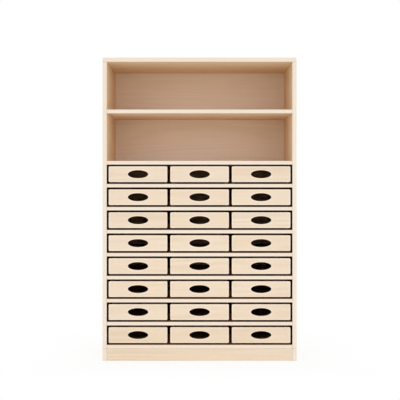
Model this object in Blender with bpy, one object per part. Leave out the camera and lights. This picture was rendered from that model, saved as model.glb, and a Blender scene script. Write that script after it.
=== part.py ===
"""Storage cabinet with two open compartments over eight rows of tray drawers.

Metres, +Z up. X runs across the cabinet, the fronts face -Y, and the origin is on the
floor under the middle of the cabinet. The boards are dowelled and glued. Each drawer is
a glued tray that slides on its shelf, between guide rails and wall battens.
"""

import math

import bmesh
import bpy
from mathutils import Matrix, Vector

# Overall size
WIDTH = 0.960
DEPTH = 0.400
HEIGHT = 1.500
PLINTH_HEIGHT = 0.061

# Boards
SIDE_THICKNESS = 0.021
TOP_THICKNESS = 0.021
SHELF_THICKNESS = 0.018
BACK_THICKNESS = 0.009
PLINTH_THICKNESS = 0.021
EASED_EDGE = 0.001
SEAT_GAP = 0.0003

# How far the back panel reaches into the side and top panels
REBATE_WIDTH = 0.010

# Drawer bay
DRAWER_ROWS = 8
DRAWER_COLUMNS = 3
ROW_OPENING = 0.0957
COLUMN_GAP = 0.0150
WALL_GAP = 0.0096
FRONT_REVEAL = 0.0090

# Drawer front
FRONT_THICKNESS = 0.015
FRONT_CORNER_RADIUS = 0.005
FRONT_EASED_EDGE = 0.0015
PULL_WIDTH = 0.1015
PULL_HEIGHT = 0.0398

# Drawer box
BOX_INSET = 0.003
BOX_SIDE_THICKNESS = 0.012
BOX_SIDE_HEIGHT = 0.076
BOX_BACK_THICKNESS = 0.012
BOX_BACK_DROP = 0.006
BOX_BACK_INSET = 0.003
BOX_BOTTOM_THICKNESS = 0.006
BOX_LIFT = 0.001
BOX_BOTTOM_RISE = 0.001
BOX_HOUSING = 0.005
BOX_EASED_EDGE = 0.002
BOX_STOP_GAP = 0.0005

# Skids under the drawer box
SKID_SETBACK = 0.060
SKID_INSET = 0.001

# Guides beside the drawers
GUIDE_CLEARANCE = 0.0012
GUIDE_SETBACK = 0.080
GUIDE_HEIGHT = 0.030
GUIDE_NOSE = 0.006
GLUE_OVERLAP = 0.003

# Facets of the round outlines
PULL_SEGMENTS = 28
CORNER_SEGMENTS = 2

# Places worked out from the sizes above
FRONT_Y = -DEPTH / 2
REAR_Y = DEPTH / 2
BACK_PANEL_Y = REAR_Y - BACK_THICKNESS
INNER_WIDTH = WIDTH - 2 * SIDE_THICKNESS
CARCASS_Z = PLINTH_HEIGHT + SEAT_GAP
TOP_Z = HEIGHT - TOP_THICKNESS
FIRST_ROW_Z = CARCASS_Z + SHELF_THICKNESS
ROW_PITCH = ROW_OPENING + SHELF_THICKNESS
BAY_TOP_Z = FIRST_ROW_Z + DRAWER_ROWS * ROW_PITCH
COMPARTMENT_HEIGHT = (TOP_Z - BAY_TOP_Z - SHELF_THICKNESS) / 2
DRAWER_WIDTH = (INNER_WIDTH - 2 * WALL_GAP - (DRAWER_COLUMNS - 1) * COLUMN_GAP) / DRAWER_COLUMNS
COLUMN_PITCH = DRAWER_WIDTH + COLUMN_GAP
DRAWER_HEIGHT = ROW_OPENING - 2 * FRONT_REVEAL
DRAWER_LENGTH = BACK_PANEL_Y - FRONT_Y - BOX_STOP_GAP
RAIL_THICKNESS = COLUMN_GAP + 2 * BOX_INSET - 2 * GUIDE_CLEARANCE
BATTEN_THICKNESS = WALL_GAP + BOX_INSET - GUIDE_CLEARANCE


def clear_scene():
    """Remove whatever the scene holds."""
    for leftover in list(bpy.data.objects):
        bpy.data.objects.remove(leftover)


def wood(name, red, green, blue, roughness):
    """A plain wood finish from an 8-bit sRGB colour."""
    linear = [((value / 255 + 0.055) / 1.055) ** 2.4 for value in (red, green, blue)]
    material = bpy.data.materials.new(name)
    material.use_nodes = True
    shader = material.node_tree.nodes["Principled BSDF"]
    shader.inputs["Base Color"].default_value = (*linear, 1)
    shader.inputs["Roughness"].default_value = roughness
    shader.inputs["Metallic"].default_value = 0
    return material


def place(name, mesh, material=None, location=(0, 0, 0)):
    """Add an object for a mesh at a place."""
    piece = bpy.data.objects.new(name, mesh)
    piece.location = location
    bpy.context.scene.collection.objects.link(piece)
    if material is not None and not mesh.materials:
        mesh.materials.append(material)
    return piece


def hide_helper(piece):
    """Keep a cutter or a glued-on form out of the finished model."""
    piece.hide_render = True
    piece.display_type = "WIRE"
    return piece


def prism_mesh(name, outline, length, axis):
    """Extrude a closed outline of 3-D points along one axis."""
    form = bmesh.new()
    base = form.faces.new([form.verts.new(point) for point in outline])
    extruded = bmesh.ops.extrude_face_region(form, geom=[base])
    moved = [item for item in extruded["geom"] if isinstance(item, bmesh.types.BMVert)]
    bmesh.ops.translate(form, verts=moved, vec=Vector(axis) * length)
    bmesh.ops.recalc_face_normals(form, faces=form.faces)
    mesh = bpy.data.meshes.new(name)
    form.to_mesh(mesh)
    form.free()
    return mesh


def box_mesh(name, size):
    """A box of the given size about its own centre."""
    half = Vector(size) / 2
    corners = [(-half.x, -half.y), (half.x, -half.y), (half.x, half.y), (-half.x, half.y)]
    return prism_mesh(name, [(x, y, -half.z) for x, y in corners], size[2], (0, 0, 1))


def box_between(name, low, high, material=None):
    """A box object between two corners, with its origin at its centre."""
    low, high = Vector(low), Vector(high)
    return place(name, box_mesh(name, high - low), material, (low + high) / 2)


def ease_edges(piece, width=EASED_EDGE):
    """Take the sharp edge off a board."""
    bevel = piece.modifiers.new("eased_edges", "BEVEL")
    bevel.width = width
    bevel.segments = 1
    bevel.limit_method = "ANGLE"
    return piece


def combine(piece, other, operation):
    """Cut a helper from a piece, or glue it on."""
    boolean = piece.modifiers.new(other.name, "BOOLEAN")
    boolean.operation = operation
    boolean.solver = "EXACT"
    boolean.object = hide_helper(other)
    return piece


def board(name, low, high, material):
    """A board with eased edges between two corners."""
    return ease_edges(box_between(name, low, high, material))


def row_floor(row):
    """Height of the board that a row's drawers stand on. Row 1 is the top row."""
    return FIRST_ROW_Z + (DRAWER_ROWS - row) * ROW_PITCH


def column_centre(column):
    """Middle of a column of drawers. Column 1 is the left one."""
    return (column - (DRAWER_COLUMNS + 1) / 2) * COLUMN_PITCH


def make_shelf(name, underside, material):
    """A full-width shelf between the side panels, up to the back panel."""
    half = INNER_WIDTH / 2 - SEAT_GAP
    low = (-half, FRONT_Y, underside)
    high = (half, BACK_PANEL_Y - SEAT_GAP, underside + SHELF_THICKNESS)
    return board(name, low, high, material)


def make_shelves(material):
    """The bottom panel, the shelf under each row, the bay's top shelf and the upper shelf."""
    make_shelf("bottom_panel", CARCASS_Z, material)
    for row in range(1, DRAWER_ROWS):
        make_shelf(f"drawer_shelf_{row}", row_floor(row) - SHELF_THICKNESS, material)
    make_shelf("bay_top_shelf", BAY_TOP_Z - SHELF_THICKNESS, material)
    make_shelf("upper_shelf", BAY_TOP_Z + COMPARTMENT_HEIGHT, material)


def batten_helper(name, side):
    """The guide battens of one side panel, one for each row, as a form to glue on."""
    wall = side * INNER_WIDTH / 2
    root = wall + side * GLUE_OVERLAP
    face = wall - side * BATTEN_THICKNESS
    nose = face + side * GUIDE_NOSE
    front = FRONT_Y + GUIDE_SETBACK
    rear = BACK_PANEL_Y - 2 * SEAT_GAP
    plan = [(root, front), (nose, front), (face, front + 2 * GUIDE_NOSE), (face, rear), (root, rear)]
    form = bmesh.new()
    for row in range(1, DRAWER_ROWS + 1):
        height = row_floor(row) + SEAT_GAP
        batten = prism_mesh(name, [(x, y, height) for x, y in plan], GUIDE_HEIGHT, (0, 0, 1))
        form.from_mesh(batten)
        bpy.data.meshes.remove(batten)
    mesh = bpy.data.meshes.new(name)
    form.to_mesh(mesh)
    form.free()
    return place(name, mesh)


def rebate_cutter():
    """The space that the back panel is let into, cut from the sides and the top."""
    half = INNER_WIDTH / 2 + REBATE_WIDTH
    low = (-half, BACK_PANEL_Y - SEAT_GAP, CARCASS_Z - REBATE_WIDTH)
    high = (half, REAR_Y + REBATE_WIDTH, TOP_Z + REBATE_WIDTH)
    return box_between("rebate_cutter", low, high)


def make_side_panel(name, side, cutter, material):
    """A side panel with its rear rebate and its guide battens. Side is -1 left, 1 right."""
    low_x, high_x = sorted((side * WIDTH / 2, side * INNER_WIDTH / 2))
    panel = board(name, (low_x, FRONT_Y, CARCASS_Z), (high_x, REAR_Y, TOP_Z - SEAT_GAP), material)
    combine(panel, cutter, "DIFFERENCE")
    combine(panel, batten_helper(f"{name}_battens", side), "UNION")


def make_top_panel(cutter, material):
    """The top panel, which covers the side panels, with a stopped rebate for the back."""
    panel = board("top_panel", (-WIDTH / 2, FRONT_Y, TOP_Z), (WIDTH / 2, REAR_Y, HEIGHT), material)
    combine(panel, cutter, "DIFFERENCE")


def make_back_panel(material):
    """The thin back panel, let into the rebates of the sides and the top."""
    half = INNER_WIDTH / 2 + REBATE_WIDTH - SEAT_GAP
    low = (-half, BACK_PANEL_Y, CARCASS_Z)
    high = (half, REAR_Y, TOP_Z + REBATE_WIDTH - SEAT_GAP)
    box_between("back_panel", low, high, material)


def make_plinth(material):
    """The plinth frame under the bottom panel, with a cross rail under each line of guide rails."""
    inner = WIDTH / 2 - PLINTH_THICKNESS
    board("plinth_left", (-WIDTH / 2, FRONT_Y, 0), (-inner, REAR_Y, PLINTH_HEIGHT), material)
    board("plinth_right", (inner, FRONT_Y, 0), (WIDTH / 2, REAR_Y, PLINTH_HEIGHT), material)
    span = inner - SEAT_GAP
    behind_front = FRONT_Y + PLINTH_THICKNESS
    before_back = REAR_Y - PLINTH_THICKNESS
    board("plinth_front", (-span, FRONT_Y, 0), (span, behind_front, PLINTH_HEIGHT), material)
    board("plinth_back", (-span, before_back, 0), (span, REAR_Y, PLINTH_HEIGHT), material)
    for number in range(1, DRAWER_COLUMNS):
        middle = column_centre(number) + COLUMN_PITCH / 2
        low = (middle - PLINTH_THICKNESS / 2, behind_front + SEAT_GAP, 0)
        high = (middle + PLINTH_THICKNESS / 2, before_back - SEAT_GAP, PLINTH_HEIGHT)
        board(f"plinth_cross_rail_{number}", low, high, material)


def guide_rail_mesh():
    """A rail between two drawers, with a tapered nose that leads the drawers in."""
    half = RAIL_THICKNESS / 2
    tip = half - min(GUIDE_NOSE, 0.8 * half)
    front = FRONT_Y + GUIDE_SETBACK
    rear = BACK_PANEL_Y - SEAT_GAP
    shoulder = front + 2 * GUIDE_NOSE
    plan = [(-tip, front), (tip, front), (half, shoulder), (half, rear), (-half, rear), (-half, shoulder)]
    return prism_mesh("guide_rail", [(x, y, 0) for x, y in plan], GUIDE_HEIGHT, (0, 0, 1))


def make_guide_rails(material):
    """One rail on the shelf for each gap between the columns, in every row."""
    mesh = guide_rail_mesh()
    for row in range(1, DRAWER_ROWS + 1):
        for number in range(1, DRAWER_COLUMNS):
            middle = column_centre(number) + COLUMN_PITCH / 2
            place(f"guide_rail_row{row}_{number}", mesh, material, (middle, 0, row_floor(row) + SEAT_GAP))


def rounded_rectangle(width, height, radius):
    """Points of a rectangle with round corners, about its centre."""
    points = []
    for quarter, (across, up) in enumerate(((1, 1), (-1, 1), (-1, -1), (1, -1))):
        centre = Vector((across * (width / 2 - radius), up * (height / 2 - radius)))
        for step in range(CORNER_SEGMENTS + 1):
            angle = math.radians(90 * (quarter + step / CORNER_SEGMENTS))
            points.append(centre + radius * Vector((math.cos(angle), math.sin(angle))))
    return points


def ellipse(width, height):
    """Points of an ellipse about its centre."""
    angles = [2 * math.pi * step / PULL_SEGMENTS for step in range(PULL_SEGMENTS)]
    return [Vector((width / 2 * math.cos(angle), height / 2 * math.sin(angle))) for angle in angles]


def drawer_front():
    """The front board: round corners, eased edges and an elliptical finger pull."""
    curve = bpy.data.curves.new("drawer_front", "CURVE")
    curve.dimensions = "2D"
    curve.fill_mode = "BOTH"
    curve.bevel_resolution = 0
    curve.bevel_depth = FRONT_EASED_EDGE
    curve.offset = -FRONT_EASED_EDGE
    curve.extrude = FRONT_THICKNESS / 2 - FRONT_EASED_EDGE
    outlines = (rounded_rectangle(DRAWER_WIDTH, DRAWER_HEIGHT, FRONT_CORNER_RADIUS),
                ellipse(PULL_WIDTH, PULL_HEIGHT))
    for outline in outlines:
        spline = curve.splines.new("POLY")
        spline.points.add(len(outline) - 1)
        for target, point in zip(spline.points, outline):
            target.co = (point.x, point.y, 0, 1)
        spline.use_cyclic_u = True
    board_curve = bpy.data.objects.new("drawer_front_curve", curve)
    bpy.context.scene.collection.objects.link(board_curve)
    mesh = evaluated_mesh(board_curve, "drawer_front")
    bpy.data.objects.remove(board_curve)
    upright = Matrix.Rotation(math.radians(90), 4, "X")
    mesh.transform(Matrix.Translation((0, FRONT_THICKNESS / 2, 0)) @ upright)
    return place("drawer_front", welded(mesh))


def welded(mesh):
    """Join the doubled points that a filled curve leaves along its rims."""
    form = bmesh.new()
    form.from_mesh(mesh)
    bmesh.ops.remove_doubles(form, verts=form.verts, dist=1e-6)
    form.to_mesh(mesh)
    form.free()
    return mesh


def evaluated_mesh(piece, name):
    """A new mesh of an object with its modifiers applied."""
    bpy.context.view_layer.update()
    depsgraph = bpy.context.evaluated_depsgraph_get()
    mesh = bpy.data.meshes.new_from_object(piece.evaluated_get(depsgraph))
    mesh.name = name
    return mesh


def eased_rail(name, low, high, axis):
    """A drawer board between two corners, eased along its top edges."""
    low, high = Vector(low), Vector(high)
    size = high - low
    width = size.x if axis == "Y" else size.y
    shape = [(0, 0), (width, 0), (width, size.z - BOX_EASED_EDGE), (width - BOX_EASED_EDGE, size.z),
             (BOX_EASED_EDGE, size.z), (0, size.z - BOX_EASED_EDGE)]
    if axis == "Y":
        mesh = prism_mesh(name, [low + Vector((u, 0, v)) for u, v in shape], size.y, (0, 1, 0))
    else:
        mesh = prism_mesh(name, [low + Vector((0, u, v)) for u, v in shape], size.x, (1, 0, 0))
    return place(name, mesh)


def skid(name, low_x, high_x, foot, lower):
    """The skid under one side. It starts well behind the front, where the gap is dark."""
    ramp = SKID_SETBACK + lower - foot
    end = DRAWER_LENGTH - SKID_INSET
    top = lower + GLUE_OVERLAP
    shape = [(SKID_SETBACK, top), (SKID_SETBACK, lower), (ramp, foot), (end, foot), (end, top)]
    outline = [(low_x + SKID_INSET, y, z) for y, z in shape]
    return place(name, prism_mesh(name, outline, high_x - low_x - 2 * SKID_INSET, (1, 0, 0)))


def drawer_boards():
    """The boards behind the front. Each reaches into its neighbour's housing."""
    foot = -ROW_OPENING / 2 + SEAT_GAP
    lower = -DRAWER_HEIGHT / 2 + BOX_LIFT
    side_top = foot + BOX_SIDE_HEIGHT
    outer = DRAWER_WIDTH / 2 - BOX_INSET
    inner = outer - BOX_SIDE_THICKNESS
    housed = FRONT_THICKNESS - BOX_HOUSING
    rear = DRAWER_LENGTH
    bottom = lower + BOX_BOTTOM_RISE
    back_rear = rear - BOX_BACK_INSET
    back_front = back_rear - BOX_BACK_THICKNESS
    reach = inner + BOX_HOUSING
    return [
        eased_rail("box_side_left", (-outer, housed, lower), (-inner, rear, side_top), "Y"),
        eased_rail("box_side_right", (inner, housed, lower), (outer, rear, side_top), "Y"),
        eased_rail("box_back", (-reach, back_front, lower + SEAT_GAP),
                   (reach, back_rear, side_top - BOX_BACK_DROP), "X"),
        box_between("box_bottom", (-reach, housed, bottom),
                    (reach, back_front + BOX_HOUSING, bottom + BOX_BOTTOM_THICKNESS)),
        skid("skid_left", -outer, -inner, foot, lower),
        skid("skid_right", inner, outer, foot, lower),
    ]


def drawer_mesh():
    """One drawer as a glued tray, with its origin in the middle of the front's face."""
    tray = drawer_front()
    helpers = drawer_boards()
    for helper in helpers:
        combine(tray, helper, "UNION")
    mesh = evaluated_mesh(tray, "drawer")
    for helper in [tray] + helpers:
        bpy.data.objects.remove(helper)
    return mesh


def make_drawers(material):
    """One drawer in every row and column, each on its own slide line."""
    mesh = drawer_mesh()
    for row in range(1, DRAWER_ROWS + 1):
        for column in range(1, DRAWER_COLUMNS + 1):
            centre = (column_centre(column), FRONT_Y, row_floor(row) + ROW_OPENING / 2)
            place(f"drawer_row{row}_column{column}", mesh, material, centre)


def main():
    """Build the whole cabinet."""
    clear_scene()
    panel_wood = wood("panel_birch", 245, 230, 213, 0.55)
    shelf_wood = wood("shelf_birch", 245, 228, 210, 0.55)
    back_wood = wood("back_birch", 236, 216, 192, 0.60)
    plinth_wood = wood("plinth_birch", 240, 220, 196, 0.55)
    guide_wood = wood("guide_beech", 120, 86, 60, 0.60)
    drawer_wood = wood("drawer_birch", 240, 220, 197, 0.50)
    cutter = rebate_cutter()
    make_side_panel("left_side_panel", -1, cutter, panel_wood)
    make_side_panel("right_side_panel", 1, cutter, panel_wood)
    make_top_panel(cutter, panel_wood)
    make_back_panel(back_wood)
    make_shelves(shelf_wood)
    make_plinth(plinth_wood)
    make_guide_rails(guide_wood)
    make_drawers(drawer_wood)


main()
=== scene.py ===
"""Storage cabinet in lacquered birch: two open compartments over eight rows of tray drawers.

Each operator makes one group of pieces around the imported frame, in metres, at the places
that the frame gives. Every board has rounded edges and carries its own grain with it.
"""

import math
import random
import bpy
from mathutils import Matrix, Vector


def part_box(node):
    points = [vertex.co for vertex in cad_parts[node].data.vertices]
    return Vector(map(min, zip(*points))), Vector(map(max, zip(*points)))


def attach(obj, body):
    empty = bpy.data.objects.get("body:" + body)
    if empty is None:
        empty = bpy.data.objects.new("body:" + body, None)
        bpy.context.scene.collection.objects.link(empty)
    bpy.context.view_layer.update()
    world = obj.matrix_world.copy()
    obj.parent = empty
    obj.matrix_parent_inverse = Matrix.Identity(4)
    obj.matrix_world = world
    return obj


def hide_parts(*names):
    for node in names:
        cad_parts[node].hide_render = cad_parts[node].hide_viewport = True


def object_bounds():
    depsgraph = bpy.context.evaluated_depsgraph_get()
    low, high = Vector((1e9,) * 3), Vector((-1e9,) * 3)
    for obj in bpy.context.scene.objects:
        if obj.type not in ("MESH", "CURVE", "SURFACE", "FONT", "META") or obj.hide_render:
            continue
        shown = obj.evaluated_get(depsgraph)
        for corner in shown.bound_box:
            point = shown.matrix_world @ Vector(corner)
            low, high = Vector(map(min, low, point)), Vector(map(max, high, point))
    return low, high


bl_info = {
    "name": "Birch Tray Cabinet",
    "version": (1, 0, 0),
    "blender": (4, 5, 0),
    "location": "View3D > Sidebar > Cabinet",
    "description": "Makes a birch storage cabinet with tray drawers, piece by piece",
    "category": "Object",
}

from collections import namedtuple
from functools import partial

import bmesh
import bpy
from bpy.props import FloatProperty, FloatVectorProperty, IntProperty, PointerProperty
from mathutils import Matrix, Vector
from mathutils.geometry import normal

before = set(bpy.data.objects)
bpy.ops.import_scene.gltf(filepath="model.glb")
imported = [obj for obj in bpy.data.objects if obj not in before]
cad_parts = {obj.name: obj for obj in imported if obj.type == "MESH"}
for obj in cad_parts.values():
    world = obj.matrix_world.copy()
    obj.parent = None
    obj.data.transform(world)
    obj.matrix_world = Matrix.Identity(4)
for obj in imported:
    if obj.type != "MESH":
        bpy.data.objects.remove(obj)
CAD_LOW, CAD_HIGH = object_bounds()

CARCASS = "carcass"
ROWS = 8
COLUMNS = 3
X, Y, Z = 0, 1, 2
FRONT, REAR = Vector((0, -1, 0)), Vector((0, 1, 0))
UP, DOWN = Vector((0, 0, 1)), Vector((0, 0, -1))

# The grain of a board: the axes that run along it, across it and through its thickness
LYING_LONG = (X, Y, Z)
LYING_DEEP = (Y, X, Z)
FACING_FRONT = (X, Z, Y)
SIDE_UPRIGHT = (Z, Y, X)
SIDE_DEEP = (Y, Z, X)

# A finished shape that waits to be joined in a piece
Part = namedtuple("Part", "points faces grain wear depth tones")

# The finishes of a birch piece, and the place of each one in it. The inside finish deepens towards the
# rear as painted shade, and the bay and ledge finishes are dark painted shade round the drawers.
BIRCH = ("birch_face", "birch_edge", "ply_edge", "birch_inside", "birch_bay", "birch_ledge")
FACE, EDGE, PLY, INSIDE_SHADE, BAY_SHADE, LEDGE_SHADE = range(len(BIRCH))

# The finishes of a tray, with ply in the same place as above, and those of the back panel. The tray's
# tone deepens towards its rear as painted shade; the back panel is paler at the foot of each compartment
# as painted light, and its second finish is the bay's painted shade.
TRAY = ("birch_tray", "hardboard", "ply_edge")
HARDBOARD = 1
BACK = ("birch_back", "birch_bay")
SHADED_BACK = 1

# The least cosine between a face and the side that it looks to: for flat faces alone, for
# the roundings next to them, and for most of the roundings
FLAT, NEARLY_FLAT, ROUNDED = 0.9, 0.7, 0.6

# The most that a face of a drawer front's edge looks to the front
SIDEWAYS = 0.1

# Two faces that meet at a wider angle than this keep a sharp edge between them
SHARP_ANGLE = math.radians(50)

# A depth or a rounding too fine to see
HAIR = 0.0003


def linear(red, green, blue):
    """The linear numbers of an 8-bit sRGB colour."""
    return tuple(((value / 255 + 0.055) / 1.055) ** 2.4 for value in (red, green, blue))


def Number(name, description, low, high, default, **kind):
    """A number that the user can change, with a unit or a subtype. Named as in bpy.props."""
    return FloatProperty(name=name, description=description, min=low, max=high, default=default, **kind)


def Colour(name, description, *colour):
    """A colour that the user can change, from its 8-bit sRGB numbers."""
    return FloatVectorProperty(name=name, description=description, subtype="COLOR", size=3,
                               min=0, max=1, default=linear(*colour))


Length = partial(Number, unit="LENGTH")
Power = partial(Number, unit="POWER")
Share = partial(Number, subtype="FACTOR")


class CabinetFinish(bpy.types.PropertyGroup):
    """Colours and lacquer of the wood, with the tones of painted shade and painted light on the faces
    inside.
    """

    face_colour: Colour("Birch face", "Lightest tone of the veneered faces", 242, 223, 199)
    # Painted shade: the faces inside the compartments go from the lighter mouth tone at their front edge
    # to the deeper inside tone at the rear, by depth.
    mouth_lit_colour: Colour(
        "Compartment front", "Tone of the faces inside at their front edge", 250, 227, 194)
    inside_shade_colour: Colour(
        "Compartment rear", "Tone that the faces inside deepen to at the rear", 234, 184, 129)
    # Painted shade: a dark tone on the faces round the drawers, where shade falls in the bays; these
    # faces are not stained.
    bay_shade_colour: Colour("Drawer bay", "Tone of the stained faces round the drawers", 104, 62, 32)
    # Painted shade: a brown tone on the shelf tops under the drawers, which show through the gaps.
    ledge_shade_colour: Colour("Drawer ledges", "Tone of the shelf tops that the drawers run on", 164, 118, 78)
    tray_colour: Colour("Tray", "Tone of the trays behind the fronts", 247, 221, 187)
    # Painted shade: the tray's tone deepens towards its rear, by depth.
    tray_rear_colour: Colour("Tray rear", "Tone that the trays deepen to at the rear", 236, 190, 142)
    bottom_colour: Colour("Tray bottom", "Tone of the hardboard bottoms of the trays", 160, 112, 80)
    # The back panel is deeper in tone just under a shelf and lighter and paler at the foot of each
    # compartment: painted shade and painted light, by height.
    back_colour: Colour("Back panel", "Tone of the thin back panel below a shelf", 242, 217, 188)
    back_foot_lit_colour: Colour(
        "Back panel's foot", "Tone of the thin back panel above a shelf", 246, 225, 211)
    line_colour: Colour("Growth lines", "Darkest tone of the birch", 222, 196, 164)
    edge_colour: Colour("Birch edge", "Tone of the banded front edges", 245, 230, 212)
    glue_colour: Colour("Ply layers", "Darkest tone of the plywood's cross layers", 190, 150, 110)
    guide_colour: Colour("Guides", "Tone of the stained beech guides", 120, 86, 60)
    steel_colour: Colour("Screws", "Tone of the plated screws", 196, 192, 182)
    grain_strength: Share("Grain", "How clearly the grain shows", 0, 1, 0.5)
    lacquer_roughness: Share("Lacquer roughness", "Roughness of the satin lacquer", 0, 1, 0.45)


class CabinetBoards(bpy.types.PropertyGroup):
    """Sizes of the carcass boards and of what holds them."""

    edge_radius: Length("Edge radius", "Rounding of the board edges", 0.0002, 0.004, 0.0014)
    joint_gap: Length("Joint gap", "Fine gap between a board and what it meets", 0, 0.001, 0.0003)
    rail_radius: Length("Guide rounding", "Rounding of the guide rails", 0.0002, 0.003, 0.001)
    rail_nose: Length("Guide nose", "How much the guides taper at the front", 0, 0.01, 0.006)
    screw_radius: Length("Screw head", "Radius of the screw heads", 0.001, 0.008, 0.0035)
    screw_spacing: Length(
        "Screw spacing", "Largest distance between two screws of the back", 0.05, 1, 0.21)


class CabinetDrawers(bpy.types.PropertyGroup):
    """Sizes of one tray drawer."""

    front_thickness: Length("Front", "Thickness of the drawer front", 0.008, 0.03, 0.015)
    corner_radius: Length("Corners", "Radius of the front's corners", 0.001, 0.02, 0.005)
    rim_radius: Length("Rim", "Rounding along the front's edges and its pull", 0.0005, 0.004, 0.0015)
    pull_width: Length("Pull width", "Width of the elliptical finger pull", 0.05, 0.15, 0.1015)
    pull_height: Length("Pull height", "Height of the elliptical finger pull", 0.02, 0.06, 0.0398)
    # The lighter band along a front's edges is partly worn lacquer and partly a painted highlight on the
    # rims.
    sanded_band: Length(
        "Sanded band", "Width of the lighter band along the front's edges", 0.001, 0.02, 0.007)
    side_thickness: Length("Tray sides", "Thickness of the tray's sides and back", 0.006, 0.02, 0.012)
    side_height: Length("Side height", "Height of the tray's sides", 0.03, 0.09, 0.076)
    side_rounding: Length("Side rounding", "Rounding of the tray's edges", 0.0005, 0.005, 0.0018)
    side_inset: Length("Side inset", "How far the sides stand in from the front's ends", 0, 0.01, 0.003)
    bottom_thickness: Length("Bottom", "Thickness of the tray's bottom", 0.003, 0.01, 0.006)
    box_lift: Length("Box lift", "How much higher the sides start than the front", 0, 0.01, 0.001)
    skid_setback: Length(
        "Skid setback", "How far behind the front's face the skids start", 0.02, 0.2, 0.060)
    skid_inset: Length("Skid inset", "How far a skid stands in from the side above it", 0, 0.004, 0.001)
    housing: Length("Housing", "How far a board reaches into its neighbour", 0.001, 0.01, 0.005)
    back_drop: Length("Back drop", "How much lower the back is than the sides", 0, 0.02, 0.006)
    back_inset: Length("Back inset", "How far the back stands in from the sides' ends", 0, 0.01, 0.003)
    pull_steps: IntProperty(
        name="Pull steps", description="Facets round the finger pull", min=16, max=128, default=64)


class CabinetStage(bpy.types.PropertyGroup):
    """Camera, lamps and floor."""

    camera_distance: Length("Camera distance", "From the camera to the drawer fronts", 1, 20, 3.82)
    camera_side: Length(
        "Camera side", "How far the camera stands to the right of the middle", -1, 1, 0.011)
    eye_height: Length("Eye height", "Height of the camera above the floor", 0.1, 3, 0.8554)
    view_width: Length("View width", "Width of the view at the drawer fronts", 0.5, 10, 1.9778)
    lamp_power: Power("Front lamps", "Watts of each soft lamp in front", 0, 2000, 10)
    rear_power: Power("Rear lamps", "Watts of each soft lamp behind", 0, 2000, 12)
    low_power: Power("Low lamp", "Watts of the lamp that fills in before the plinth", 0, 2000, 0.6)
    room_light: Share("Room light", "Strength of the even light of the room", 0, 2, 0.845)
    floor_white: Share("Floor white", "How far the floor goes out to white", 0, 1, 0.85)


SECTIONS = {
    "cabinet_finish": CabinetFinish,
    "cabinet_boards": CabinetBoards,
    "cabinet_drawers": CabinetDrawers,
    "cabinet_stage": CabinetStage,
}


def chosen(section):
    """The user's choices in one section of the panel."""
    return getattr(bpy.context.scene, f"cabinet_{section}")


# Shader node groups and materials

# A noise: how many features a metre has along the grain, across it and through the board, its
# detail and roughness, and the part of its range that is spread over 0 to 1
Noise = namedtuple("Noise", "stretch detail roughness low high", defaults=(0.5, 0, 1))
SWELL = Noise((0.5, 7.5, 7.5), 1.5, 0.45)
FADE = Noise((1.6, 9, 9), 1, 0.5, 0.35, 0.6)
STREAKS = Noise((2, 110, 110), 3, 0.6, 0.3, 0.7)
FIBRES = Noise((14, 1000, 1000), 2, 0.6, 0.3, 0.75)
PORES = Noise((120, 2200, 2200), 1, 0.5, 0.62, 0.72)
DRIFT = Noise((0.6, 2.6, 2.6), 1, 0.5, 0.25, 0.75)
PLY_SPECKLE = Noise((600, 600, 1400), 2, 0.6)
FELT_CLOUDS = Noise((90, 90, 90), 3, 0.6, 0.3, 0.7)
FELT_FLECKS = Noise((700, 700, 700), 2, 0.6, 0.3, 0.75)
STEEL_SCRATCHES = Noise((700, 2500, 700), 3, 0.6)

# Growth lines that one swell of the grain is cut into, in radians
GROWTH_LINES = 70

# Depth of the grain in the surface, and the thickness of one layer of the plywood
FINE_RELIEF = 0.0002
PLY_LAYER = 0.0013

# How much of its wood's light a line of the grain keeps, and a dull patch of its steel's
LINE_SHARE, DULL_SHARE = 0.72, 0.6

# The kinds of socket, and the sockets of the shared effects that hold no plain number
NUMBER, COLOUR, PLACE = "NodeSocketFloat", "NodeSocketColor", "NodeSocketVector"
KINDS = {"Grain": PLACE, "Light": COLOUR, "Dark": COLOUR, "Colour": COLOUR}


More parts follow.
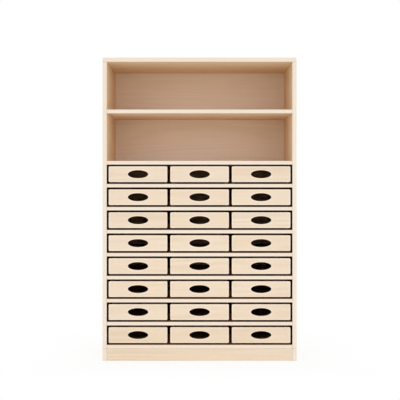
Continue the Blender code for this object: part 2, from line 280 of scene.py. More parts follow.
class Tree:
    """A node tree under construction, with short calls for the nodes that the wood needs."""

    def __init__(self, tree):
        self.tree = tree

    def add(self, kind, **options):
        """A node with some of its options set."""
        node = self.tree.nodes.new(kind)
        for option, value in options.items():
            setattr(node, option, value)
        return node

    def feed(self, node, numbered=None, **named):
        """Give a node its inputs, by number or by name. An underscore stands for a space."""
        inputs = dict(numbered or {})
        inputs.update((label.replace("_", " "), value) for label, value in named.items())
        for key, value in inputs.items():
            if isinstance(value, bpy.types.NodeSocket):
                self.tree.links.new(value, node.inputs[key])
            else:
                node.inputs[key].default_value = value
        return node

    def math(self, operation, *values):
        """A Math node on sockets or numbers."""
        node = self.add("ShaderNodeMath", operation=operation)
        return self.feed(node, dict(enumerate(values))).outputs[0]

    def added(self, start, value, share):
        """A start with a share of a value added to it."""
        return self.math("MULTIPLY_ADD", value, share, start)

    def parts(self, place):
        """The three numbers of a place."""
        return self.feed(self.add("ShaderNodeSeparateXYZ"), Vector=place).outputs

    def noise(self, place, kind):
        """One of the noises, at a place in metres."""
        scaled = self.add("ShaderNodeVectorMath", operation="MULTIPLY")
        self.feed(scaled, {0: place, 1: kind.stretch})
        node = self.add("ShaderNodeTexNoise")
        self.feed(node, Vector=scaled.outputs[0], Scale=1, Detail=kind.detail,
                  Roughness=kind.roughness)
        return self.spread(node.outputs["Fac"], kind.low, kind.high)

    def spread(self, value, low, high):
        """Stretch the part of a value between low and high to 0 and 1."""
        node = self.add("ShaderNodeMapRange")
        return self.feed(node, Value=value, From_Min=low, From_Max=high).outputs["Result"]

    def blend(self, factor, first, second):
        """Mix two colours."""
        node = self.add("ShaderNodeMix", data_type="RGBA")
        return self.feed(node, {0: factor, 6: first, 7: second}).outputs[2]

    def attribute(self, name, output):
        """A value that is stored on the piece's points."""
        return self.add("ShaderNodeAttribute", attribute_name=name).outputs[output]

    def group(self, name, **inputs):
        """One of the shared effects, with its own values."""
        node = self.add("ShaderNodeGroup", node_tree=bpy.data.node_groups[name])
        return self.feed(node, **inputs).outputs

    def bump(self, height, strength):
        """A normal that follows the fine relief of a surface."""
        node = self.add("ShaderNodeBump")
        return self.feed(node, Height=height, Strength=strength, Distance=FINE_RELIEF).outputs[0]


def new_group(name, inputs, outputs):
    """A shared effect with named sockets: the tree, what it is given and what it puts out."""
    group = bpy.data.node_groups.new(name, "ShaderNodeTree")
    for way, labels in (("INPUT", inputs), ("OUTPUT", outputs)):
        for label in labels.split():
            group.interface.new_socket(label, in_out=way, socket_type=KINDS.get(label, NUMBER))
    tree = Tree(group)
    return tree, tree.add("NodeGroupInput").outputs, tree.add("NodeGroupOutput")


def darker(colour, share=LINE_SHARE):
    """A colour with a share of its light."""
    return tuple(share * channel for channel in colour)


def make_grain_group():
    """Growth figure, streaks, fibres and pores, from grain coordinates in metres."""
    tree, given, result = new_group("Wood grain", "Grain Figure Fibre Pores", "Tone Height Drift")
    kinds = (SWELL, FADE, STREAKS, FIBRES, PORES, DRIFT)
    swell, fade, streaks, fibres, pores, drift = (tree.noise(given["Grain"], kind) for kind in kinds)
    rings = tree.math("SINE", tree.math("MULTIPLY", swell, GROWTH_LINES))
    rings = tree.math("MULTIPLY", tree.spread(rings, -0.5, 1), fade)
    fine = tree.added(tree.math("MULTIPLY", fibres, 0.4), streaks, 0.6)
    tone = tree.math("MULTIPLY", rings, given["Figure"])
    tone = tree.added(tone, fine, given["Fibre"])
    tone = tree.added(tone, pores, given["Pores"])
    height = tree.math("SUBTRACT", tree.math("MULTIPLY", fibres, 0.3), pores)
    tree.feed(result, Tone=tone, Height=height, Drift=drift)


def make_board_colour_group():
    """The colour of a board: two tones of wood, a slow drift, and lighter, paler worn edges that are
    partly a painted highlight.
    """
    tree, given, result = new_group("Board colour", "Tone Drift Wear Light Dark Strength", "Colour")
    factor = tree.math("MULTIPLY", given["Tone"], given["Strength"])
    wood = tree.blend(factor, given["Light"], given["Dark"])
    vary = tree.add("ShaderNodeHueSaturation")
    drift = tree.math("SUBTRACT", given["Drift"], 0.5)
    # The worn edges are made lighter and paler: partly real wear, partly a painted highlight along the
    # rims.
    tree.feed(vary, Color=wood,
              Value=tree.added(tree.added(1, drift, 0.03), given["Wear"], 0.1),
              Saturation=tree.added(tree.added(1, drift, -0.12), given["Wear"], -0.1))
    tree.feed(result, Colour=vary.outputs["Color"])


def make_ply_group():
    """The layers that show on the sawn edge of plywood, by depth from its face."""
    tree, given, result = new_group("Ply layers", "Grain Layer", "Layers Height")
    depth = tree.parts(given["Grain"])["Z"]
    turns = tree.math("MULTIPLY", tree.math("DIVIDE", depth, given["Layer"]), math.pi)
    layers = tree.spread(tree.math("SINE", turns), -0.3, 0.3)
    speckle = tree.noise(given["Grain"], PLY_SPECKLE)
    cross = tree.math("MULTIPLY", layers, tree.spread(speckle, 0.2, 0.6))
    tree.feed(result, Layers=cross, Height=speckle)


def new_material(name, **constants):
    """A material with a Principled shader whose even values are set on its own sockets."""
    material = bpy.data.materials.new(name)
    material.use_nodes = True
    tree = Tree(material.node_tree)
    shader = material.node_tree.nodes["Principled BSDF"]
    tree.feed(shader, **constants)
    return tree, shader


def make_wood(name, light, dark, deep=None, strength=1, matt=0, gleam=0.35, figure=0.5,
              fibre=0.6, pores=0.2):
    """Lacquered wood with its grain, its drift from board to board and its worn edges, which carry a
    painted highlight.

    Strength is a share of the chosen grain, and matt comes on top of the chosen roughness.
    """
    finish = chosen("finish")
    tree, shader = new_material(name, Specular_IOR_Level=gleam)
    wear = tree.attribute("wear", "Fac")
    light = (*light, 1)
    # Given a deep tone, the wood blends to it by the depth attribute: painted shade towards the rear of
    # the faces inside and of the trays, and painted light at the foot of the back panel.
    if deep:
        light = tree.blend(tree.attribute("depth", "Fac"), light, (*deep, 1))
    grain = tree.group("Wood grain", Grain=tree.attribute("grain", "Vector"), Figure=figure,
                       Fibre=fibre, Pores=pores)
    wood = tree.group("Board colour", Tone=grain["Tone"], Drift=grain["Drift"], Wear=wear,
                      Light=light, Dark=(*dark, 1), Strength=strength * finish.grain_strength)
    gloss = tree.added(finish.lacquer_roughness + matt, grain["Tone"], 0.08)
    tree.feed(shader, Base_Color=wood["Colour"], Roughness=tree.added(gloss, wear, -0.06),
              Normal=tree.bump(grain["Height"], 0.12))


def make_ply_edge(name, light, dark, roughness):
    """The sawn edge of birch plywood, with its layers."""
    tree, shader = new_material(name, Specular_IOR_Level=0.3)
    place = tree.attribute("grain", "Vector")
    layers = tree.group("Ply layers", Grain=place, Layer=PLY_LAYER)
    grain = tree.group("Wood grain", Grain=place, Figure=0, Fibre=0.5, Pores=0.2)
    wood = tree.group("Board colour", Tone=layers["Layers"], Drift=grain["Drift"], Wear=0,
                      Light=(*light, 1), Dark=(*dark, 1), Strength=0.65)
    gloss = tree.added(roughness, layers["Layers"], 0.12)
    tree.feed(shader, Base_Color=wood["Colour"], Roughness=gloss,
              Normal=tree.bump(layers["Height"], 0.2))


def make_hardboard(name, light, dark, roughness):
    """Smooth brown hardboard, felted from fine flecks with no grain."""
    tree, shader = new_material(name, Specular_IOR_Level=0.2)
    place = tree.attribute("grain", "Vector")
    clouds, flecks = (tree.noise(place, kind) for kind in (FELT_CLOUDS, FELT_FLECKS))
    tone = tree.added(tree.math("MULTIPLY", flecks, 0.5), clouds, 0.35)
    tree.feed(shader, Base_Color=tree.blend(tone, (*light, 1), (*dark, 1)),
              Roughness=tree.added(roughness, flecks, 0.1), Normal=tree.bump(flecks, 0.1))


def make_steel(name, colour):
    """Plated steel with fine scratches and dull patches."""
    tree, shader = new_material(name, Metallic=1)
    scratches = tree.noise(tree.add("ShaderNodeTexCoord").outputs["Object"], STEEL_SCRATCHES)
    dull = darker(colour, DULL_SHARE)
    tree.feed(shader, Base_Color=tree.blend(scratches, (*colour, 1), (*dull, 1)),
              Roughness=tree.added(0.2, scratches, 0.35))


class CABINET_OT_finishes(bpy.types.Operator):
    """Build the shared effects and the materials of the cabinet"""

    bl_idname = "cabinet.finishes"
    bl_label = "Finishes"

    def execute(self, context):
        make_grain_group()
        make_board_colour_group()
        make_ply_group()
        finish = chosen("finish")
        face, line, guide = finish.face_colour, finish.line_colour, finish.guide_colour
        make_wood("birch_face", face, line, figure=0.55)
        # Painted shade: the faces inside deepen from the mouth tone at the front to the rear tone.
        make_wood("birch_inside", finish.mouth_lit_colour, line, finish.inside_shade_colour, figure=0.55)
        # Painted shade: the trays deepen towards their rear.
        make_wood("birch_tray", finish.tray_colour, line, finish.tray_rear_colour, matt=0.1)
        # The back panel: painted shade under each shelf and painted light at the foot of each
        # compartment.
        make_wood("birch_back", finish.back_colour, line, finish.back_foot_lit_colour, matt=0.05,
                  figure=0.4)
        make_wood("birch_edge", finish.edge_colour, line, strength=0.6, figure=0.1, fibre=0.4,
                  pores=0.1)
        # Painted shade: dark tones for the drawer bays and for the ledges under the drawers.
        for name, shade_colour in (("bay", finish.bay_shade_colour), ("ledge", finish.ledge_shade_colour)):
            make_wood(f"birch_{name}", shade_colour, darker(shade_colour), matt=0.3, gleam=0.08)
        make_wood("beech_guide", guide, darker(guide), matt=0.15, figure=0.3, fibre=0.8, pores=0.6)
        make_ply_edge("ply_edge", face, finish.glue_colour, finish.lacquer_roughness + 0.1)
        make_hardboard("hardboard", finish.bottom_colour, darker(finish.bottom_colour), 0.6)
        make_steel("plated_steel", finish.steel_colour)
        return {"FINISHED"}


# Shapes

# How far apart in the log two boards may be cut, and the share of a rounding that is worn and carries
# the painted highlight
LOG_REACH = 9
WORN_HIGHLIGHT_SHARE = 0.7


def rounded(form, edges, radius, steps=3):
    """Round some edges of a form."""
    bmesh.ops.bevel(form, geom=edges, offset=radius, segments=steps, profile=0.5, affect="EDGES")
    return form


def box_form(low, high, radius=0.0):
    """A closed box between two corners, with rounded edges."""
    low, high = Vector(low), Vector(high)
    form = bmesh.new()
    size = Matrix.Diagonal(high - low).to_4x4()
    bmesh.ops.create_cube(form, size=1, matrix=Matrix.Translation((low + high) / 2) @ size)
    return rounded(form, form.edges[:], radius) if radius else form


def prism_form(outline, axis, start, end, radius):
    """An outline drawn in the two other axes and pushed along one axis, with rounded edges."""
    form = bmesh.new()
    ends = []
    for level in (start, end):
        points = [point[:axis] + (level,) + point[axis:] for point in outline]
        ends.append([form.verts.new(point) for point in points])
        form.faces.new(ends[-1])
    skin(form, ends)
    bmesh.ops.recalc_face_normals(form, faces=form.faces[:])
    form.normal_update()
    return rounded(form, [edge for edge in form.edges if edge.is_convex], radius)


def skin(form, rings):
    """Join each closed ring of points to the next with faces."""
    for ring, after in zip(rings, rings[1:]):
        for index in range(len(ring)):
            following = (index + 1) % len(ring)
            form.faces.new((ring[index], ring[following], after[following], after[index]))


def mesh_of(form, name):
    """The mesh of a form, which is given up for it."""
    mesh = bpy.data.meshes.new(name)
    form.to_mesh(mesh)
    form.free()
    return mesh


def placed(name, data):
    """A new object in the scene, with its mesh, lamp or camera."""
    piece = bpy.data.objects.new(name, data)
    bpy.context.scene.collection.objects.link(piece)
    return piece


def carved(form, cutter):
    """A form with another one cut away from it."""
    piece, tool = (placed(name, mesh_of(shape, name))
                   for name, shape in (("carved", form), ("cutter", cutter)))
    cut = piece.modifiers.new("cut", "BOOLEAN")
    cut.operation = "DIFFERENCE"
    cut.solver = "EXACT"
    cut.object = tool
    depsgraph = bpy.context.evaluated_depsgraph_get()
    mesh = bpy.data.meshes.new_from_object(piece.evaluated_get(depsgraph))
    result = bmesh.new()
    result.from_mesh(mesh)
    for spare in (piece.data, tool.data, mesh):
        bpy.data.meshes.remove(spare)
    return result


def stamped(form, grain, seed, radius=0.0, bands=(), base=FACE, band=EDGE, joints=()):
    """Store each point's place in the wood, its depth that painted shade follows, the worn edges with
    their painted highlight, and the finish of each face.

    Faces that look to one of the bands' sides get the band's finish, the others the base.
    Joints are planes, each an axis and a level, where boards meet and no edge is worn or highlighted.
    """
    form.normal_update()
    form.verts.index_update()
    low, high = (Vector([end(vert.co[axis] for vert in form.verts) for axis in (X, Y, Z)])
                 for end in (min, max))
    draw = random.Random(seed)
    shift = Vector((draw.uniform(-LOG_REACH, LOG_REACH), draw.uniform(-LOG_REACH, LOG_REACH), 0))
    points, places, wear, depth = [], [], [], []
    for vert in form.verts:
        local = vert.co - low
        far = high - vert.co
        close = [min(local[axis], far[axis]) < WORN_HIGHLIGHT_SHARE * radius for axis in (X, Y, Z)]
        points.append(vert.co.copy())
        places.append(Vector([local[axis] for axis in grain]) + shift)
        joined = any(abs(vert.co[axis] - level) < 2 * radius for axis, level in joints)
        wear.append(float(sum(close) >= 2 and not joined))
        # Depth from the front to the rear, which the painted shade of the inside faces and the trays
        # follows
        depth.append((vert.co.y - CAD_LOW.y) / (CAD_HIGH.y - CAD_LOW.y))
    faces = [[vert.index for vert in face.verts] for face in form.faces]
    tones = [band if any(face.normal.dot(side) > NEARLY_FLAT for side in bands) else base
             for face in form.faces]
    form.free()
    return Part(points, faces, places, wear, depth, tones)


def make_piece(name, parts, materials=BIRCH, body=CARCASS, replaced=()):
    """Join parts in one shown piece that rides on a body and stands for CAD nodes."""
    total = Part([], [], [], [], [], [])
    for part in parts:
        first = len(total.points)
        faces = [[first + corner for corner in face] for face in part.faces]
        for values, added in zip(total, part._replace(faces=faces)):
            values.extend(added)
    mesh = bpy.data.meshes.new(name)
    mesh.from_pydata(total.points, [], total.faces)
    grain = mesh.attributes.new("grain", "FLOAT_VECTOR", "POINT")
    grain.data.foreach_set("vector", [value for place in total.grain for value in place])
    for label in ("wear", "depth"):
        values = mesh.attributes.new(label, "FLOAT", "POINT").data
        values.foreach_set("value", getattr(total, label))
    for material in materials:
        mesh.materials.append(bpy.data.materials[material])
    mesh.polygons.foreach_set("material_index", total.tones)
    mesh.update()
    mesh.shade_smooth()
    mesh.set_sharp_from_angle(angle=SHARP_ANGLE)
    piece = placed(name, mesh)
    shading = piece.modifiers.new("even_shading", "WEIGHTED_NORMAL")
    shading.keep_sharp = True
    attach(piece, body)
    if replaced:
        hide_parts(*replaced)


def stamped_board(node, name, grain, bands=(), top_joint=False):
    """A plain board in the place of its CAD node, let in between boards at its two ends."""
    radius = chosen("boards").edge_radius
    low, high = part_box(node)
    form = box_form(low, high, radius)
    joint = 4 * radius
    for end in (low.x + joint, high.x - joint):
        split_at(form, X, end)
    joints = [(X, low.x), (X, high.x)] + [(Z, high.z)] * top_joint
    return stamped(form, grain, name, radius, bands, joints=joints)


def lined(part, side, lining=INSIDE_SHADE, below=math.inf, reach=FLAT):
    """Give the faces that look to a side, up to a height, the finish of a lining; most linings are tones
    of painted shade.
    """
    tones = []
    for face, tone in zip(part.faces, part.tones):
        level = sum(part.points[corner].z for corner in face) / len(face)
        inward = facing(part, face).dot(side) > reach
        tones.append(lining if inward and level < below else tone)
    return part._replace(tones=tones)


def split_at(form, axis, level):
    """Add an edge all round a form at a level of an axis, so that a tone can end there."""
    across = Vector([float(number == axis) for number in (X, Y, Z)])
    bmesh.ops.bisect_plane(form, geom=form.verts[:] + form.edges[:] + form.faces[:],
                           plane_co=level * across, plane_no=across)
    return form


def facing(part, face):
    """The direction that a face looks in."""
    return normal([part.points[corner] for corner in face])


# The carcass

# How far the space of the back panel is cut past the boards, where it is open
OVERCUT = 0.01

# Places of the screws in the back panel: the distance of the outer lines from its edges, where
# the upright and the level lines start, and how much wider the screws are spaced on the latter
SCREW_INSET = 0.0055
UPRIGHT_START = 0.03
LEVEL_START = 0.12
LEVEL_STRETCH = 1.4

# How far from the ends of a batten its screws are, and how many facets a screw has
BATTEN_SCREW_START = 0.05
SCREW_FACETS = 24

# The most that a guide's nose takes off each side, as a share of half its thickness
NOSE_LIMIT = 0.8


def back_space():
    """The corners of the space that the back panel is let into."""
    gap = chosen("boards").joint_gap
    low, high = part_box("back_panel")
    return low - Vector((gap, gap, OVERCUT)), high + Vector((gap, OVERCUT, gap))


class CABINET_OT_side_panels(bpy.types.Operator):
    """Make the two side panels, rebated for the back panel"""

    bl_idname = "cabinet.side_panels"
    bl_label = "Side panels"

    def execute(self, context):
        radius, gap = chosen("boards").edge_radius, chosen("boards").joint_gap
        space_low, space_high = back_space()
        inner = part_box("bottom_panel")[1].x + gap
        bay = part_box("bay_top_shelf")[0].z
        for side, node in ((-1, "left_side_panel"), (1, "right_side_panel")):
            low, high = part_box(node)
            outer = max(abs(low.x), abs(high.x))
            plan = [(inner, low.y), (outer, low.y), (outer, high.y), (space_high.x, high.y),
                    (space_high.x, space_low.y), (inner, space_low.y)]
            form = prism_form([(side * x, y) for x, y in plan], Z, low.z, high.z, radius)
            part = stamped(split_at(form, Z, bay), SIDE_UPRIGHT, node, radius, [FRONT],
                           joints=[(Z, low.z), (Z, high.z)])
            # The inner face gets the inside tone of painted shade, and below the bay's top the darker
            # painted shade of the drawer bay.
            inward = Vector((-side, 0, 0))
            part = lined(lined(part, inward), inward, BAY_SHADE, bay)
            name = node.replace("panel", "board")
            make_piece(name, [part], replaced=[node])
        return {"FINISHED"}


class CABINET_OT_top_panel(bpy.types.Operator):
    """Make the top panel with its stopped rebate"""

    bl_idname = "cabinet.top_panel"
    bl_label = "Top panel"

    def execute(self, context):
        radius = chosen("boards").edge_radius
        low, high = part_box("top_panel")
        form = carved(box_form(low, high, radius), box_form(*back_space()))
        part = stamped(form, LYING_LONG, "top_board", radius, [FRONT], joints=[(Z, low.z)])
        # The underside gets the inside tone of painted shade.
        part = lined(part, DOWN)
        make_piece("top_board", [part], replaced=["top_panel"])
        return {"FINISHED"}


class CABINET_OT_shelves(bpy.types.Operator):
    """Make the bottom panel, the drawer shelves and the open shelves"""

    bl_idname = "cabinet.shelves"
    bl_label = "Shelves"

    def execute(self, context):
        # Tones of the undersides and tops: the inside, bay and ledge tones are painted shade, where the
        # shelves are shut in.
        linings = {"bottom_panel": (FACE, LEDGE_SHADE), "bay_top_shelf": (FACE, FACE),
                   "upper_shelf": (INSIDE_SHADE, FACE)}
        for number in range(1, ROWS):
            linings[f"drawer_shelf_{number}"] = (BAY_SHADE, LEDGE_SHADE)
        for node, tones in linings.items():
            name = node.replace("panel", "shelf").replace("shelf", "shelf_board")
            board = stamped_board(node, name, LYING_LONG, [FRONT])
            for side, tone in zip((DOWN, UP), tones):
                reach = ROUNDED if tone in (BAY_SHADE, LEDGE_SHADE) else FLAT
                board = lined(board, side, tone, reach=reach)
            make_piece(name, [board], replaced=[node])
        return {"FINISHED"}


class CABINET_OT_plinth(bpy.types.Operator):
    """Make the plinth boards and the cross rails between them"""

    bl_idname = "cabinet.plinth"
    bl_label = "Plinth"

    def execute(self, context):
        boards = {}
        for node in ("plinth_front", "plinth_back"):
            boards[node] = (f"{node}_board", FACING_FRONT, [])
        for node in ("plinth_left", "plinth_right"):
            boards[node] = (f"{node}_board", SIDE_DEEP, [FRONT])
        for number in range(1, COLUMNS):
            boards[f"plinth_cross_rail_{number}"] = (f"cross_rail_{number}", SIDE_DEEP, [])
        for node, (name, grain, bands) in boards.items():
            board = stamped_board(node, name, grain, bands, top_joint=True)
            make_piece(name, [board], replaced=[node])
        return {"FINISHED"}


def evenly(start, end, spacing):
    """Numbers from start to end, no further apart than spacing."""
    count = math.ceil(abs(end - start) / spacing)
    return [start + (end - start) * step / count for step in range(count + 1)]


def back_screw_places():
    """Where screws hold the back panel: round its edges, and to three of the shelves."""
    low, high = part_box("back_panel")
    spacing = chosen("boards").screw_spacing
    sides = (low.x + SCREW_INSET, high.x - SCREW_INSET)
    levels = evenly(low.z + UPRIGHT_START, high.z - UPRIGHT_START, spacing)
    boards = ("bottom_panel", "drawer_shelf_4", "bay_top_shelf", "upper_shelf")
    lines = [sum(corner.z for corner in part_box(node)) / 2 for node in boards]
    lines.append(high.z - SCREW_INSET)
    across = evenly(low.x + LEVEL_START, high.x - LEVEL_START, LEVEL_STRETCH * spacing)
    return [(x, z) for x in sides for z in levels] + [(x, z) for z in lines for x in across]


def cone(form, foot, top, depth, matrix):
    """Add a closed cone with its two radii to a form."""
    bmesh.ops.create_cone(form, cap_ends=True, segments=SCREW_FACETS, radius1=foot, radius2=top,
                          depth=depth, matrix=matrix)


def screw_head(radius, depth):
    """A countersunk screw head with a cross recess, at the origin, facing up."""
    form = bmesh.new()
    cone(form, 0.5 * radius, radius, depth, Matrix.Translation((0, 0, -depth / 2)))
    rim = [edge for edge in form.edges if all(vert.co.z > -depth / 2 for vert in edge.verts)]
    rounded(form, rim, 0.06 * radius, 2)
    long, short, deep = 0.52 * radius, 0.12 * radius, 0.6 * depth
    for across, along in ((long, short), (short, long)):
        form = carved(form, box_form((-across, -along, -deep), (across, along, deep)))
    return form


def screws_part(places, side):
    """Screw heads at a list of places, all looking to one side."""
    radius = chosen("boards").screw_radius
    head = mesh_of(screw_head(radius, 0.5 * radius), "screw_head")
    turn = UP.rotation_difference(side).to_matrix().to_4x4()
    total = bmesh.new()
    draw = random.Random("screws")
    for place in places:
        spin = Matrix.Rotation(draw.uniform(0, math.pi), 4, "Z")
        copy = head.copy()
        copy.transform(Matrix.Translation(place) @ turn @ spin)
        total.from_mesh(copy)
        bpy.data.meshes.remove(copy)
    bpy.data.meshes.remove(head)
    return stamped(total, LYING_LONG, "screws")


class CABINET_OT_back_panel(bpy.types.Operator):
    """Make the thin back panel with its countersunk screws"""

    bl_idname = "cabinet.back_panel"
    bl_label = "Back panel"

    def execute(self, context):
        radius, head = chosen("boards").joint_gap, chosen("boards").screw_radius
        low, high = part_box("back_panel")
        places = back_screw_places()
        sinks = bmesh.new()
        for x, z in places:
            turn = Matrix.Translation((x, high.y, z)) @ Matrix.Rotation(math.radians(-90), 4, "X")
            cone(sinks, 0.5 * head, 1.5 * head, head, turn)
        shelves = [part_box(node) for node in ("bay_top_shelf", "upper_shelf")]
        heads, feet = [[box[end].z for box in shelves] for end in (0, 1)]
        form = carved(box_form(low, high, radius), sinks)
        for level in heads + feet:
            split_at(form, Z, level)
        part = stamped(form, FACING_FRONT, "back_board", radius)
        # Below the bay's top the panel's front gets the dark painted shade of the drawer bays.
        part = lined(part, FRONT, SHADED_BACK, heads[0])
        # Painted light: the points along each shelf top on the panel's front make it lighter and paler
        # at the foot of each compartment, by height.
        foot = [float(point.y < low.y + 2 * radius
                      and any(abs(point.z - level) < radius for level in feet))
                for point in part.points]
        part = part._replace(depth=foot)
        make_piece("back_board", [part], BACK, replaced=["back_panel"])
        sunk = [(x, high.y - HAIR, z) for x, z in places]
        make_piece("back_screws", [screws_part(sunk, REAR)], ["plated_steel"])
        return {"FINISHED"}


class CABINET_OT_guides(bpy.types.Operator):
    """Make the guide rails on the shelves and the battens on the side panels"""

    bl_idname = "cabinet.guides"
    bl_label = "Guides"

    def execute(self, context):
        sizes = chosen("boards")
        radius, nose = sizes.rail_radius, sizes.rail_nose
        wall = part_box("bottom_panel")[1].x + sizes.joint_gap
        face = -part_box("left_side_panel")[1].x
        rails, battens, screws, nodes = [], [], {-1: [], 1: []}, []
        for row in range(1, ROWS + 1):
            for number in range(1, COLUMNS):
                node = f"guide_rail_row{row}_{number}"
                low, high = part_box(node)
                middle, half = (low.x + high.x) / 2, (high.x - low.x) / 2
                tip = half - min(nose, NOSE_LIMIT * half)
                shoulder = low.y + 2 * nose
                plan = [(-tip, low.y), (tip, low.y), (half, shoulder), (half, high.y),
                        (-half, high.y), (-half, shoulder)]
                form = prism_form([(middle + x, y) for x, y in plan], Z, low.z, high.z, radius)
                rails.append(stamped(form, SIDE_DEEP, node))
                nodes.append(node)
            for side in (-1, 1):
                plan = [(wall, low.y), (face + nose, low.y), (face, shoulder), (face, high.y),
                        (wall, high.y)]
                form = prism_form([(side * x, y) for x, y in plan], Z, low.z, high.z, radius)
                battens.append(stamped(form, SIDE_DEEP, f"batten_{row}_{side}"))
                level = (low.z + high.z) / 2
                ends = (low.y + BATTEN_SCREW_START, high.y - BATTEN_SCREW_START)
                screws[side] += [(side * face, y, level) for y in ends]
        make_piece("guide_rails", rails, ["beech_guide"], replaced=nodes)
        make_piece("wall_battens", battens, ["beech_guide"])
        heads = [screws_part(screws[side], Vector((-side, 0, 0))) for side in (-1, 1)]
        make_piece("batten_screws", heads, ["plated_steel"])
        return {"FINISHED"}


# The drawers

# Least radius that the inner outlines of a front keep, as a share of its corner radius
LEAST_CORNER = 0.1

# How far a tray's boards reach into the front, and the rounding of its skids as a share of
# the rounding of its sides
TUCK = 0.001
SKID_ROUNDING = 0.4


def rounded_outline(width, height, radius, steps=6):
    """Points of a rectangle with round corners, about its centre."""
    points = []
    for quarter, (across, up) in enumerate(((1, 1), (-1, 1), (-1, -1), (1, -1))):
        for step in range(steps + 1):
            angle = math.radians(90 * (quarter + step / steps))
            points.append((across * (width / 2 - radius) + radius * math.cos(angle),
                           up * (height / 2 - radius) + radius * math.sin(angle)))
    return points


def oval_outline(width, height, steps):
    """Points of an ellipse about its centre."""
    angles = [2 * math.pi * step / steps for step in range(steps)]
    return [(width / 2 * math.cos(angle), height / 2 * math.sin(angle)) for angle in angles]


def rim_profile(rim, band, thickness, steps=4):
    """How far a rounded board edge stands in, and how deep, from the face to the back."""
    angles = [math.radians(90 * step / steps) for step in range(steps + 1)]
    turn = [(rim + band, 0)]
    turn += [(rim * (1 - math.sin(angle)), rim * (1 - math.cos(angle))) for angle in angles]
    return turn + [(inset, thickness - depth) for inset, depth in reversed(turn)]


def front_form(centre, width, height):
    """A drawer front with round corners, rounded rims and a finger pull cut through it."""
    sizes = chosen("drawers")
    form = bmesh.new()
    outer, inner = [], []
    for inset, depth in rim_profile(sizes.rim_radius, sizes.sanded_band, sizes.front_thickness):
        corner = max(sizes.corner_radius - inset, LEAST_CORNER * sizes.corner_radius)
        edge = rounded_outline(width - 2 * inset, height - 2 * inset, corner)
        pull = oval_outline(sizes.pull_width + 2 * inset, sizes.pull_height + 2 * inset,
                            sizes.pull_steps)
        for rings, outline in ((outer, edge), (inner, pull)):
            points = [centre + Vector((across, depth, up)) for across, up in outline]
            rings.append([form.verts.new(point) for point in points])
    skin(form, outer)
    skin(form, inner)
    for end in (0, -1):
        border = []
        for ring in (outer[end], inner[end]):
            border += [form.edges.get(pair) for pair in zip(ring, ring[1:] + ring[:1])]
        bmesh.ops.triangle_fill(form, use_beauty=True, edges=border)
    bmesh.ops.recalc_face_normals(form, faces=form.faces[:])
    return form, outer


def worn_highlight_weights(part, rings):
    """Worn lightening for the points of a front, partly a painted highlight: full on its rounded rims,
    none on its faces and sides.
    """
    ring = len(part.points) // rings
    steps = [min(index // ring, rings - 1 - index // ring) for index in range(len(part.points))]
    return [float(0 < step < rings // 2 - 1) for step in steps]


def drawer_places():
    """Each drawer's node, the middle of its front's face, and its box."""
    shelves = ["bay_top_shelf", *(f"drawer_shelf_{row}" for row in range(1, ROWS)), "bottom_panel"]
    for row in range(1, ROWS + 1):
        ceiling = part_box(shelves[row - 1])[0].z
        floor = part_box(shelves[row])[1].z
        for column in range(1, COLUMNS + 1):
            node = f"drawer_row{row}_column{column}"
            low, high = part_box(node)
            centre = Vector(((low.x + high.x) / 2, low.y, (floor + ceiling) / 2))
            yield node, centre, low, high


class CABINET_OT_drawer_fronts(bpy.types.Operator):
    """Make the drawer fronts with their elliptical finger pulls"""

    bl_idname = "cabinet.drawer_fronts"
    bl_label = "Drawer fronts"

    def execute(self, context):
        for node, centre, low, high in drawer_places():
            form, rings = front_form(centre, high.x - low.x, 2 * (high.z - centre.z))
            part = stamped(form, FACING_FRONT, node, chosen("drawers").rim_radius)
            rims = [EDGE if SIDEWAYS < abs(facing(part, face).y) < FLAT else FACE
                    for face in part.faces]
            # The rims and the band next to them get the worn lighter tone, partly a painted highlight.
            part = part._replace(tones=rims, wear=worn_highlight_weights(part, len(rings)))
            name = node.replace("drawer", "front")
            make_piece(name, [part], body=node, replaced=[node])
        return {"FINISHED"}


def tray_parts(name, low, high, centre):
    """The sides, back and bottom of one tray, housed in each other, and the skids below."""
    sizes = chosen("drawers")
    rounding = sizes.side_rounding
    outer = (high.x - low.x) / 2 - sizes.side_inset
    inner = outer - sizes.side_thickness
    start = low.y + sizes.front_thickness - TUCK
    top = low.z + sizes.side_height
    lower = 2 * centre.z - high.z + sizes.box_lift
    bottom = lower + sizes.box_lift
    rear = high.y - sizes.back_inset
    back = rear - sizes.side_thickness
    reach = inner + sizes.housing
    around = [UP, DOWN, REAR]
    boards = {
        "left": ((-outer, start, lower), (-inner, high.y, top), SIDE_DEEP, rounding, around),
        "right": ((inner, start, lower), (outer, high.y, top), SIDE_DEEP, rounding, around),
        "back": ((-reach, back, lower), (reach, rear, top - sizes.back_drop),
                 FACING_FRONT, rounding, [UP, DOWN]),
        "bottom": ((-reach, start, bottom),
                   (reach, back + sizes.housing, bottom + sizes.bottom_thickness),
                   LYING_DEEP, HAIR, []),
    }
    shift = Vector((centre.x, 0, 0))
    parts = []
    for label, (corner, far, grain, radius, edges) in boards.items():
        form = box_form(Vector(corner) + shift, Vector(far) + shift, radius)
        base = HARDBOARD if label == "bottom" else FACE
        parts.append(stamped(form, grain, f"{name}_{label}", radius, edges, base, PLY))
    front, end = low.y + sizes.skid_setback, high.y - sizes.skid_inset
    outline = [(front, lower + rounding), (front, lower), (front + lower - low.z, low.z),
               (end, low.z), (end, lower + rounding)]
    for side in (-1, 1):
        across = sorted(centre.x + side * reach for reach in
                        (inner + sizes.skid_inset, outer - sizes.skid_inset))
        form = prism_form(outline, X, *across, SKID_ROUNDING * rounding)
        parts.append(stamped(form, SIDE_DEEP, f"{name}_skid{side}", rounding, around, band=PLY))
    return parts


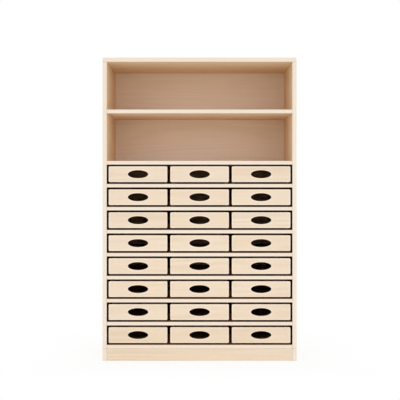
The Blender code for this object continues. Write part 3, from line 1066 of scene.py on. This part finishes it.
class CABINET_OT_drawer_trays(bpy.types.Operator):
    """Make the plywood tray behind each drawer front"""

    bl_idname = "cabinet.drawer_trays"
    bl_label = "Drawer trays"

    def execute(self, context):
        for node, centre, low, high in drawer_places():
            name = node.replace("drawer", "tray")
            parts = tray_parts(name, low, high, centre)
            make_piece(name, parts, TRAY, body=node)
        return {"FINISHED"}


# The stage

# Half the width of the floor, its tone, and how far round the cabinet its shadow shows
FLOOR_REACH = 60
FLOOR_TONE = (0.96, 0.96, 0.96, 1)
SHADOW_REACH = 0.4

# The lamps: their places and targets, their widths, and the choices that hold their watts
MIDDLE, FOOT = (0, 0, 0.8), (0, 0, 0.2)
LAMPS = {
    "left_front_lamp": ((-2.1, -3, 1.5), MIDDLE, 2.4, "lamp_power"),
    "left_rear_lamp": ((-2.6, 2.8, 2), MIDDLE, 2.4, "rear_power"),
    "right_front_lamp": ((2.1, -3, 1.5), MIDDLE, 2.4, "lamp_power"),
    "right_rear_lamp": ((2.6, 2.8, 2), MIDDLE, 2.4, "rear_power"),
    "low_lamp": ((0, -1.2, 0.27), FOOT, 0.45, "low_power"),
}

WHITE = (1, 1, 1, 1)
SENSOR_WIDTH = 36

# Shift of the picture's frame to the right and up, as a share of its width
FRAME_RIGHT, FRAME_UP = 0.0011, -0.0303


def make_floor(white):
    """A plain pale floor that goes out to white for the camera and keeps the shadow."""
    form = bmesh.new()
    bmesh.ops.create_grid(form, x_segments=1, y_segments=1, size=FLOOR_REACH)
    floor = placed("studio_floor", mesh_of(form, "studio_floor"))
    tree, shader = new_material("studio_floor", Base_Color=FLOOR_TONE, Roughness=0.9,
                                Specular_IOR_Level=0.1)
    glow = tree.feed(tree.add("ShaderNodeEmission"), Color=WHITE, Strength=1)
    place = tree.parts(tree.add("ShaderNodeTexCoord").outputs["Object"])
    beside, before = (tree.math("SUBTRACT", tree.math("ABSOLUTE", place[axis]), edge)
                      for axis, edge in (("X", CAD_HIGH.x), ("Y", CAD_HIGH.y)))
    fade = tree.spread(tree.math("MAXIMUM", beside, before), 0, SHADOW_REACH)
    seen = tree.math("MULTIPLY", seen_rays(tree), tree.added(white, fade, 1 - white))
    mix = tree.add("ShaderNodeMixShader")
    tree.feed(mix, {0: seen, 1: shader.outputs["BSDF"], 2: glow.outputs["Emission"]})
    output = next(node for node in tree.tree.nodes if node.type == "OUTPUT_MATERIAL")
    tree.feed(output, Surface=mix.outputs[0])
    floor.data.materials.append(bpy.data.materials["studio_floor"])


def seen_rays(tree):
    """1 for the rays that see the backdrop: from the camera, in gloss and through glass."""
    rays = tree.add("ShaderNodeLightPath").outputs
    total = tree.math("ADD", rays["Is Camera Ray"], rays["Is Glossy Ray"])
    return tree.math("MINIMUM", tree.math("ADD", total, rays["Is Transmission Ray"]), 1)


def make_room(strength):
    """Even light from all round, behind a white backdrop."""
    world = bpy.data.worlds.new("studio_room")
    world.use_nodes = True
    bpy.context.scene.world = world
    tree = Tree(world.node_tree)
    level = tree.added(strength, seen_rays(tree), 1 - strength)
    tree.feed(world.node_tree.nodes["Background"], Color=WHITE, Strength=level)


def make_lamp(name, place, target, size, power):
    """A soft square lamp that looks at a target."""
    lamp = bpy.data.lights.new(name, "AREA")
    lamp.energy = power
    lamp.size = size
    holder = placed(name, lamp)
    holder.location = place
    holder.rotation_euler = (Vector(target) - Vector(place)).to_track_quat("-Z", "Y").to_euler()
    holder.visible_camera = False


class CABINET_OT_stage(bpy.types.Operator):
    """Set up the camera, the lamps, the room light and the floor"""

    bl_idname = "cabinet.stage"
    bl_label = "Stage"

    def execute(self, context):
        stage = context.scene.cabinet_stage
        camera = bpy.data.cameras.new("front_camera")
        camera.sensor_width = SENSOR_WIDTH
        camera.lens = SENSOR_WIDTH * stage.camera_distance / stage.view_width
        camera.shift_x = FRAME_RIGHT - stage.camera_side / stage.view_width
        camera.shift_y = FRAME_UP
        camera.clip_end = 200
        holder = placed("front_camera", camera)
        holder.location = (stage.camera_side, CAD_LOW.y - stage.camera_distance, stage.eye_height)
        holder.rotation_euler = (math.radians(90), 0, 0)
        context.scene.camera = holder
        make_floor(stage.floor_white)
        make_room(stage.room_light)
        for name, (place, target, width, power) in LAMPS.items():
            make_lamp(name, place, target, width, getattr(stage, power))
        context.scene.view_settings.view_transform = "Standard"
        return {"FINISHED"}


OPERATORS = (CABINET_OT_finishes, CABINET_OT_side_panels, CABINET_OT_top_panel,
             CABINET_OT_back_panel, CABINET_OT_shelves, CABINET_OT_plinth, CABINET_OT_guides,
             CABINET_OT_drawer_fronts, CABINET_OT_drawer_trays, CABINET_OT_stage)


class CABINET_PT_maker(bpy.types.Panel):
    """The cabinet's sizes, finishes and pieces, in the order in which they are made"""

    bl_idname = "CABINET_PT_maker"
    bl_label = "Birch cabinet"
    bl_space_type = "VIEW_3D"
    bl_region_type = "UI"
    bl_category = "Cabinet"

    def draw(self, context):
        for section in SECTIONS:
            group = getattr(context.scene, section)
            box = self.layout.box()
            for name in group.__annotations__:
                box.prop(group, name)
        for operator in OPERATORS:
            self.layout.operator(operator.bl_idname)


def register():
    """Make the property groups, the operators and the panel known to Blender."""
    for kind in (*SECTIONS.values(), *OPERATORS, CABINET_PT_maker):
        bpy.utils.register_class(kind)
    for name, kind in SECTIONS.items():
        setattr(bpy.types.Scene, name, PointerProperty(type=kind))


def unregister():
    """Take everything back out again."""
    for name in SECTIONS:
        delattr(bpy.types.Scene, name)
    for kind in (CABINET_PT_maker, *reversed(OPERATORS), *reversed(SECTIONS.values())):
        bpy.utils.unregister_class(kind)


def main():
    """Make the whole cabinet and its stage."""
    register()
    for operator in OPERATORS:
        getattr(bpy.ops.cabinet, operator.bl_idname.removeprefix("cabinet."))()


if __name__ == "__main__":
    main()
